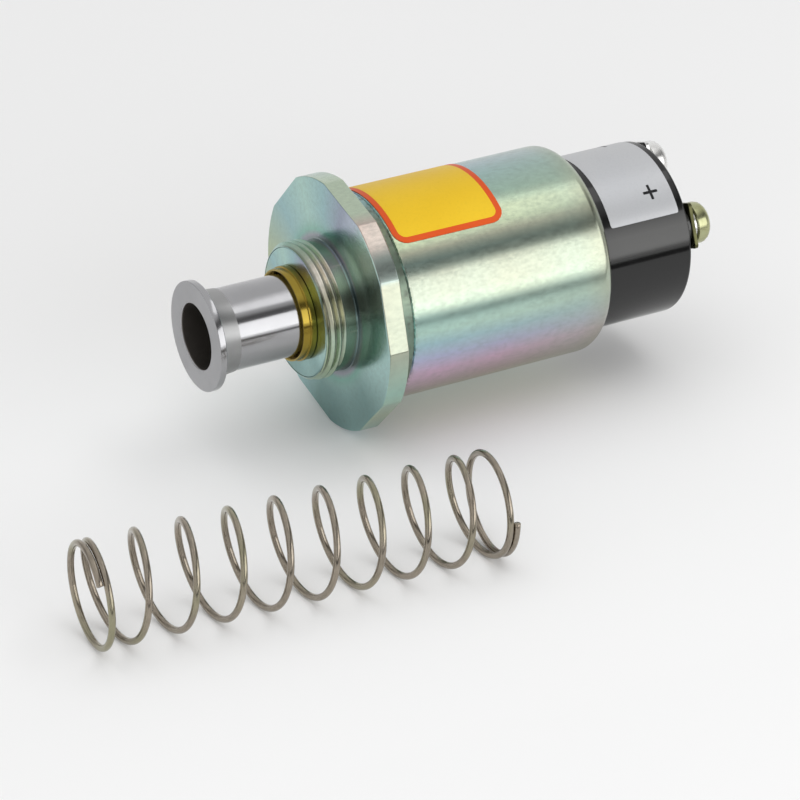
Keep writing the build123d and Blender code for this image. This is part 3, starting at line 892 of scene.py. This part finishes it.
def makeCap(make, terminals, stack):
    section = [
        (make["skirtStart"], make["innerR"]), (make["skirtStart"], make["skirtR"]),
        (make["skirtEnd"], make["skirtR"]), (make["skirtEnd"], make["r"]), (make["rear"], make["r"]),
        (make["rear"], 0), (make["postStart"], 0), (make["postStart"], make["postR"]),
        (make["innerRear"], make["postR"]), (make["innerRear"], make["innerR"]),
    ]
    body = turnedMesh(easedCorners(section, make["edge"], 5, skip=(0, 1, 2, 3, 7, 8, 9)))
    seatStart = make["rear"] - make["seatDeep"]
    seat = [(seatStart, make["seatHoleR"]), (seatStart, make["seatR"])]
    seat += [(make["rear"] + x, make["seatR"] + rise) for x, rise in make["seatFoot"]]
    seat += [(make["seatEnd"] - x, make["seatR"] - drop) for x, drop in make["seatTop"]]
    seat.append((make["seatEnd"], make["seatHoleR"]))
    raised = turnedMesh(seat, make["seatSteps"])
    seats = [setAtTerminal(raised, terminal["at"], stack["reach"]) for terminal in terminals.values()]
    verts, faces = joined(body, *seats)
    return newPiece("moulded_end_cap", verts, faces, [capPhenolicAndPaintedReflection], "root", "black_phenolic", ("end_cap",))


makeCap(capMake, terminalMake, stackMake)
print("cap made")


# sticker and label: sheets bent round the metal, with rounded corners

stickerMake = {
    "start": 8.5, "width": 25.0, "edgeAngle": 129.2, "span": 150.0, "r": 21.925, "thick": 0.09,
    "corner": 3.0, "border": 1.3, "printThick": 0.02, "printSunk": 0.01,
}
labelMake = {
    "start": 57.6, "width": 16.3, "edgeAngle": 147.0, "span": 97.0, "r": 18.315, "thick": 0.09,
    "corner": 0.5, "plusAt": (69.1, 129.5), "minusAt": (69.1, 67.0), "markSize": 3.4, "markLine": 0.62,
    "printThick": 0.015, "printSunk": 0.005,
}


def bentSheet(make, underR, thick, corner, inset=0.0, steps=64):
    # closed sheet from edgeAngle down, a grid over x and angle, its corners pulled in to a radius
    rowSteps = 24
    start, width, span = make["start"], make["width"], make["span"]
    half = width / 2 - inset
    arc = math.radians(span) * underR / 2 - inset
    middle = math.radians(make["edgeAngle"] - span / 2)
    xs = [start + width / 2 + half * math.sin(math.pi * (i / rowSteps - 0.5)) for i in range(rowSteps + 1)]
    verts = []
    faces = []
    for layer in (underR, underR + thick):
        for x in xs:
            over = abs(x - start - width / 2) - (half - corner)
            pull = corner - math.sqrt(max(corner * corner - max(over, 0) ** 2, 0)) if corner else 0
            for j in range(steps + 1):
                turn = middle - (arc - pull) * (2 * j / steps - 1) / underR
                verts.append((x, layer * math.cos(turn), layer * math.sin(turn)))
    n = steps + 1
    rows = len(xs)
    for i in range(rows - 1):
        for j in range(steps):
            low = i * n + j
            top = rows * n + low
            faces.append((low, low + 1, low + n + 1, low + n))
            faces.append((top, top + 1, top + n + 1, top + n))
    rim = [i * n for i in range(rows)] + [(rows - 1) * n + j for j in range(1, n)]
    rim += [i * n + steps for i in range(rows - 2, -1, -1)] + [j for j in range(steps - 1, 0, -1)]
    for a, b in zip(rim, rim[1:] + rim[:1]):
        faces.append((a, b, b + rows * n, a + rows * n))
    return verts, faces


def makeSticker(make):
    border = bentSheet(make, make["r"], make["thick"], make["corner"])
    newPiece("sticker_border", *border, [stickerOrange], "root", "yellow_sticker", ("body_sticker",),
             weighted=False)
    printR = make["r"] + make["thick"] - make["printSunk"]
    field = bentSheet(make, printR, make["printThick"], make["corner"] - make["border"], make["border"])
    newPiece("sticker_field", *field, [stickerYellow], "root", "yellow_sticker", weighted=False)


def printedBar(make, spot, roundCap):
    # short stroke printed on the label, along the cap or round it
    x, angle = spot
    size, line = make["markSize"], make["markLine"]
    printR = make["r"] + make["thick"] - make["printSunk"]
    alongX, aroundX = (line, size) if roundCap else (size, line)
    span = math.degrees(aroundX / printR)
    place = {"start": x - alongX / 2, "width": alongX, "edgeAngle": angle + span / 2, "span": span}
    return bentSheet(place, printR, make["printThick"], line * 0.2, steps=12)


def makeLabel(make):
    sheet = bentSheet(make, make["r"], make["thick"], make["corner"])
    newPiece("silver_label", *sheet, [labelSilver], "root", "silver_label", ("polarity_label",),
             weighted=False)
    plus = joined(printedBar(make, make["plusAt"], False), printedBar(make, make["plusAt"], True))
    minus = printedBar(make, make["minusAt"], True)
    newPiece("plus_mark", *plus, [labelInk], "root", "silver_label", weighted=False)
    newPiece("minus_mark", *minus, [labelInk], "root", "silver_label", weighted=False)


makeSticker(stickerMake)
makeLabel(labelMake)
print("sticker and label made")


# on each terminal a square washer, a split washer and a slotted screw

screwMake = {
    "headR": 4.4, "headHeight": 3.5, "headEdge": 0.15, "headSteps": 96, "sharp": 30,
    "dome": [(1.6, 0.0), (0.9, 0.22), (0.35, 0.75), (0.08, 1.5), (0.0, 2.6)],
    "slot": 1.2, "slotDepth": 1.3, "slotLength": 12, "shankEnd": 72.12, "coreR": 1.58, "coreSteps": 48,
}
screwThread = {"r": 2.0, "depth": 0.4, "pitch": 0.7, "land": 0.1, "lead": 0.3, "runOut": 0.0, "steps": 48}
lugMake = {"half": 4.8, "corner": 0.7, "edge": 0.08, "holeR": 2.06, "steps": 96}
washerMake = {
    "innerR": 2.2, "outerR": 3.9, "edge": (0.1, 0.12), "gap": 12, "gapAt": 200, "clear": 0.01, "steps": 72,
}


def cutAway(piece, shape):
    # takes a closed shape out of a piece and keeps the result as its mesh
    verts, faces = shape
    cutterMesh = bpy.data.meshes.new("slot cutter")
    cutterMesh.from_pydata([Vector(v) * mm for v in verts], [], faces)
    cutter = bpy.data.objects.new("slot cutter", cutterMesh)
    bpy.context.scene.collection.objects.link(cutter)
    cut = piece.modifiers.new("cut", "BOOLEAN")
    cut.operation = "DIFFERENCE"
    cut.solver = "EXACT"
    cut.object = cutter
    bpy.context.view_layer.update()
    seen = piece.evaluated_get(bpy.context.evaluated_depsgraph_get())
    mesh = bpy.data.meshes.new_from_object(seen)
    piece.modifiers.remove(cut)
    piece.data = mesh
    bpy.data.objects.remove(cutter)


def slotBar(make, top, slotTurn):
    # bar as wide as the slot, from its floor to above the head
    above = 1
    halfLength, halfWidth = make["slotLength"] / 2, make["slot"] / 2
    spin = math.radians(slotTurn)
    c, s = math.cos(spin), math.sin(spin)
    corners = [(x, y, z) for x in (top - make["slotDepth"], top + above)
               for y in (-halfLength, halfLength) for z in (-halfWidth, halfWidth)]
    sides = [(0, 1, 3, 2), (4, 6, 7, 5), (0, 4, 5, 1), (2, 3, 7, 6), (0, 2, 6, 4), (1, 5, 7, 3)]
    return [(x, y * c - z * s, y * s + z * c) for x, y, z in corners], sides


def makeScrew(side, terminal, stack, make, thread):
    name = side + "_slotted_screw"
    finish, slotName = terminal["screw"], terminal["screwSlot"]
    spot = (terminal["at"], stack["reach"])
    start, headR, edge = stack["headStart"], make["headR"], make["headEdge"]
    top = start + make["headHeight"]
    section = [(start, 0), (start, headR - edge), (start + edge, headR)]
    section += [(top - x, headR - drop) for x, drop in make["dome"]] + [(top, 0)]
    head = setAtTerminal(turnedMesh(section, make["headSteps"]), *spot)
    piece = newPiece(name, *head, [finish], "root", slotName, (side + "_screw",), sharp=make["sharp"],
                     weighted=False)
    cutAway(piece, setAtTerminal(slotBar(make, top, terminal["slotTurn"]), *spot))
    piece.data.set_sharp_from_angle(angle=math.radians(make["sharp"]))

    coreEnd = start + 0.2
    core = [(make["shankEnd"], 0), (make["shankEnd"], make["coreR"]), (coreEnd, make["coreR"]), (coreEnd, 0)]
    wound = threadStrip(make["shankEnd"], start - 0.1, thread)
    shank = setAtTerminal(joined(turnedMesh(core, make["coreSteps"]), wound), *spot)
    newPiece(name + "_thread", *shank, [finish], "root", slotName)
    return piece


def makeLug(side, terminal, stack, make):
    # square washer with rounded corners and eased edges
    half, corner, edge, holeR = make["half"], make["corner"], make["edge"], make["holeR"]
    steps = make["steps"]
    z0, z1 = stack["face"], stack["washerTop"]
    verts = []
    faces = []
    for k in range(steps):
        a = fullTurn * k / steps + math.pi / 4
        c, s = math.cos(a), math.sin(a)
        reach = half / max(abs(c), abs(s))
        u, v = reach * c, reach * s
        du, dv = max(abs(u) - half + corner, 0), max(abs(v) - half + corner, 0)
        over = math.hypot(du, dv)
        if over > corner:
            u -= math.copysign(du * (1 - corner / over), u)
            v -= math.copysign(dv * (1 - corner / over), v)
        eased = 1 - edge / half
        for x, share in ((z0, eased), (z0 + edge, 1), (z1 - edge, 1), (z1, eased)):
            verts.append((x, u * share, v * share))
        for x, r in ((z1, holeR + edge), (z1 - edge, holeR), (z0 + edge, holeR), (z0, holeR + edge)):
            verts.append((x, r * c, r * s))
    for k in range(steps):
        m = ((k + 1) % steps) * 8
        for j in range(8):
            faces.append((k * 8 + j, k * 8 + (j + 1) % 8, m + (j + 1) % 8, m + j))
    name, node = side + "_square_washer", side + "_lug"
    shape = setAtTerminal((verts, faces), terminal["at"], stack["reach"])
    return newPiece(name, *shape, [terminal["washer"]], "root", "bright_tin", (node,))


def lockWasher(terminal, stack, make):
    steps = make["steps"]
    gap = math.radians(make["gap"])
    inner, outer = make["innerR"], make["outerR"]
    along, down = make["edge"]
    low, high = stack["washerTop"] + make["clear"], stack["headStart"] - make["clear"]
    section = [
        (low, inner), (low, outer - down), (low + along, outer), (high - along, outer), (high, outer - down),
        (high, inner),
    ]
    n = len(section)
    verts = []
    faces = []
    for k in range(steps + 1):
        a = gap / 2 + (fullTurn - gap) * k / steps + math.radians(make["gapAt"])
        verts += [(x, r * math.cos(a), r * math.sin(a)) for x, r in section]
    for k in range(steps):
        for j in range(n):
            m = (j + 1) % n
            faces.append((k * n + j, k * n + m, (k + 1) * n + m, (k + 1) * n + j))
    faces += [tuple(range(n)), tuple(range(steps * n, (steps + 1) * n))]
    return setAtTerminal((verts, faces), terminal["at"], stack["reach"])


for side, terminal in terminalMake.items():
    makeScrew(side, terminal, stackMake, screwMake, screwThread)
for side, terminal in terminalMake.items():
    makeLug(side, terminal, stackMake, lugMake)
washers = joined(*[lockWasher(terminal, stackMake, washerMake) for terminal in terminalMake.values()])
newPiece("split_washers", *washers, [brightTin], "root", "bright_tin", ("lock_washers",))
print("terminals made")


# the inner pieces keep their CAD shape and get their finish

innerFinishes = {
    "front_washer": washerFibre, "coil_bobbin": bobbinNylon, "pull_in_winding": thickCopper,
    "hold_in_winding": thinCopper, "winding_wrap": windingTape, "fixed_core": coreSteel,
    "rear_pole_plate": coreSteel, "insulating_disc": washerFibre, "contact_carrier": carrierPhenolic,
    "live_contact": contactCopper, "coil_contact": contactCopper, "contact_bridge": contactCopper,
    "bridge_bush": bobbinNylon, "bridge_clip": springWire, "switch_rod": coreSteel,
    "pull_in_lead": thickCopper, "ground_lead": thinCopper,
    "cap_gasket": gasketRubber, "positive_insert": insertBrass, "negative_insert": insertBrass,
}
for nodeName, finish in innerFinishes.items():
    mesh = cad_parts[nodeName].data
    mesh.materials.clear()
    mesh.materials.append(finish)
print("inner finishes set")


# floor, sky, lights and camera; places and sizes are in metres

floorMake = {"z": -0.026375, "half": 4, "pale": (0.90, 0.90, 0.90), "paler": (0.92, 0.92, 0.92)}
skyMake = {
    "gapAzimuth": -56, "seenColour": (0.93, 0.93, 0.93),
    "plain": [(0.0, 0.85), (0.5, 0.9), (0.72, 0.85), (0.9, 0.8), (1.0, 0.8)],
    "gap": [(0.0, 0.4), (0.5, 0.6), (0.74, 0.3), (0.785, 0.13), (0.84, 0.13), (0.88, 0.55), (0.915, 0.8),
            (1.0, 0.8)],
    "gapShare": [(0.04, 0.8), (0.16, 0.0), (0.62, 0.0), (0.76, 1.0)],
}
lightTarget = Vector((0.02, 0, 0))
lightMake = {
    "key panel": {
        "azimuth": -62, "elevation": 15, "distance": 0.9, "size": (1.0, 0.55), "power": 3.0, "mirrored": True,
    },
    "lobe panel": {
        "azimuth": -18, "elevation": 63, "distance": 0.9, "size": (0.5, 0.2), "power": 0.28, "mirrored": True,
    },
    "overhead fill": {
        "azimuth": 60, "elevation": 84, "distance": 1.2, "size": (1.6, 1.0), "power": 2.5, "mirrored": False,
    },
    "low front fill": {
        "azimuth": -110, "elevation": 14, "distance": 1.1, "size": (1.4, 0.4), "power": 4.0,
        "mirrored": False,
    },
}
cardMake = {"x": (-0.4, 0.6), "y": (-0.19, -0.115), "z": -0.0262, "dark": 0.01, "lessDark": 0.02}
viewMake = {
    "lens": 160.85, "sensor": 36, "clip": 0.01, "place": (-0.29880, -0.57123, 0.32530),
    "right": (0.8753, -0.48358, 0.0), "up": (0.22937, 0.41518, 0.88035),
    "ahead": (0.42572, 0.77057, -0.47432),
}


def stagePlane(name, x, y, z, mat):
    # level rectangle between two x and two y, which belongs to the studio
    mesh = bpy.data.meshes.new(name)
    mesh.from_pydata([(x[0], y[0], z), (x[1], y[0], z), (x[1], y[1], z), (x[0], y[1], z)], [], [(0, 1, 2, 3)])
    mesh.materials.append(mat)
    plane = bpy.data.objects.new(name, mesh)
    bpy.context.scene.collection.objects.link(plane)
    return plane


def makeFloor(make):
    finish = Finish("pale floor")
    tone = finish.ramp(finish.cloud(3, 2, 0.5), [(0.3, make["pale"]), (0.7, make["paler"])])
    mat = finish.setup(tone, 0.85, **{"Specular IOR Level": 0.1})
    ends = (-make["half"], make["half"])
    return stagePlane("floor", ends, ends, make["z"], mat)


def paintSky(make):
    # pale room with a darker stretch between the key panel and the one above it
    world = bpy.data.worlds.new("soft studio")
    bpy.context.scene.world = world
    world.use_nodes = True
    sky = NodeWork(world.node_tree)
    x, y, z = sky.split(sky.add("ShaderNodeTexCoord").outputs["Generated"])
    a = math.radians(make["gapAzimuth"])
    towards = sky.sum("ADD", sky.sum("MULTIPLY", x, math.cos(a)), sky.sum("MULTIPLY", y, math.sin(a)))
    height = sky.sum("ADD", sky.sum("MULTIPLY", z, 0.5), 0.5)
    plain = sky.ramp(height, make["plain"])
    gapSide = sky.ramp(height, make["gap"])
    share = sky.ramp(sky.sum("ADD", sky.sum("MULTIPLY", towards, 0.5), 0.5), make["gapShare"])
    fromCamera = sky.add("ShaderNodeLightPath").outputs["Is Camera Ray"]
    room = sky.blend(fromCamera, sky.blend(share, plain, gapSide), make["seenColour"])
    sky.join(room, world.node_tree.nodes["Background"].inputs["Color"])


def softLight(name, make):
    lamp = bpy.data.lights.new(name, "AREA")
    lamp.shape = "RECTANGLE"
    lamp.size, lamp.size_y = make["size"]
    lamp.energy = make["power"]
    holder = bpy.data.objects.new(name, lamp)
    a, e = math.radians(make["azimuth"]), math.radians(make["elevation"])
    away = Vector((math.cos(a) * math.cos(e), math.sin(a) * math.cos(e), math.sin(e)))
    holder.location = lightTarget + away * make["distance"]
    holder.rotation_euler = away.to_track_quat("Z", "Y").to_euler()
    holder.visible_camera = False
    holder.visible_glossy = make["mirrored"]  # the fills lift the shadows and leave no reflection
    bpy.context.scene.collection.objects.link(holder)


def makeCard(make):
    # black card in front, which draws the thin dark line below the key panel's reflection
    finish = Finish("black card")
    tone = finish.ramp(finish.cloud(60, 3, 0.6), [(0.3, make["dark"]), (0.7, make["lessDark"])])
    card = stagePlane("front card", make["x"], make["y"], make["z"], finish.setup(tone, 0.8))
    card.visible_camera = False
    card.visible_diffuse = False
    card.visible_shadow = False


def setCamera(make):
    lens = bpy.data.cameras.new("photograph view")
    lens.lens = make["lens"]
    lens.sensor_width = make["sensor"]
    lens.clip_start = make["clip"]
    camera = bpy.data.objects.new("photograph view", lens)
    right, up, ahead = Vector(make["right"]), Vector(make["up"]), Vector(make["ahead"])
    turned = Matrix((right, up, -ahead)).transposed().to_4x4()
    camera.matrix_world = Matrix.Translation(make["place"]) @ turned
    bpy.context.scene.collection.objects.link(camera)
    bpy.context.scene.camera = camera


makeFloor(floorMake)
paintSky(skyMake)
for lightName, settings in lightMake.items():
    softLight(lightName, settings)
makeCard(cardMake)
setCamera(viewMake)
bpy.context.scene.view_settings.view_transform = "Standard"
print("studio ready")
